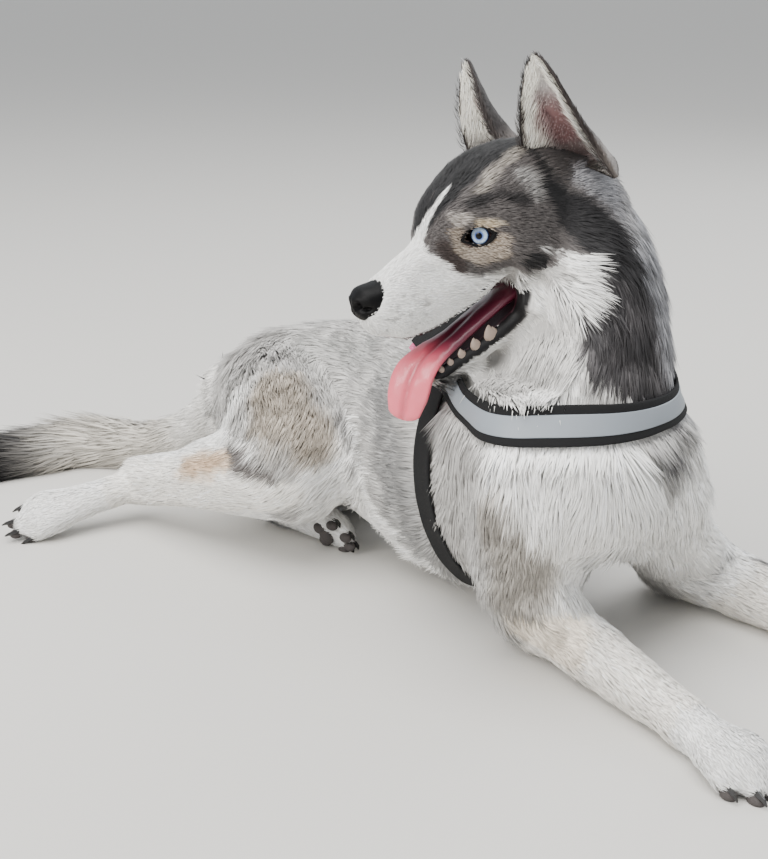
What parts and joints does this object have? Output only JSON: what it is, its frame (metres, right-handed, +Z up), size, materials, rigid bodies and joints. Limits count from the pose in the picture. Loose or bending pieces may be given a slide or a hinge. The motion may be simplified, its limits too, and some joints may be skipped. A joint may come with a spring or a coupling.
{
  "type": "lying siberian husky",
  "caption": "Life-size still model of a slim young Siberian husky lying with raised head turned back, mouth open, in a chest harness.",
  "frame": {"origin": "middle of the footprint, on the ground", "axes": "+Z up; +X from the tail to the forepaws, which is the longest way; -Y is the side that the head and the belly face"},
  "size_m": [0.9522, 0.7536, 0.4705],
  "materials": {
    "grey_coat": "short dense coat, white at the root and dark at the tip",
    "dark_coat": "short dark coat with white cheeks and blaze",
    "white_coat": "short white coat",
    "tail_coat": "long brush, dark along the top and at the tip",
    "ear_coat": "velvety short coat, white fur in the cup",
    "nose": "damp, finely pebbled",
    "tongue": "wet",
    "eye": "wet, pale blue iris",
    "claw": "horn",
    "webbing": "black woven webbing",
    "reflective": "grey reflective tape",
    "lining": "pink knitted mesh"
  },
  "bodies": {
    "root": {"harness_lining": "lining", "harness_reflective_strip": "reflective", "harness_saddle": "webbing", "harness_webbing": "webbing", "head": "dark_coat", "left_ear": "ear_coat", "left_eye": "eye", "left_foreleg": "grey_coat", "left_forepaw": "white_coat", "left_forepaw_claw_1": "claw", "left_forepaw_claw_2": "claw", "left_forepaw_claw_3": "claw", "left_forepaw_claw_4": "claw", "left_hindleg": "grey_coat", "left_hindpaw": "white_coat", "left_hindpaw_claw_1": "claw", "left_hindpaw_claw_2": "claw", "left_hindpaw_claw_3": "claw", "left_hindpaw_claw_4": "claw", "lower_jaw": "white_coat", "neck": "dark_coat", "nose": "nose", "right_ear": "ear_coat", "right_eye": "eye", "right_foreleg": "grey_coat", "right_forepaw": "white_coat", "right_forepaw_claw_1": "claw", "right_forepaw_claw_2": "claw", "right_forepaw_claw_3": "claw", "right_forepaw_claw_4": "claw", "right_hindleg": "grey_coat", "right_hindpaw": "white_coat", "right_hindpaw_claw_1": "claw", "right_hindpaw_claw_2": "claw", "right_hindpaw_claw_3": "claw", "right_hindpaw_claw_4": "claw", "tail": "tail_coat", "tongue": "tongue", "torso": "grey_coat"}
  },
  "joints": []
}
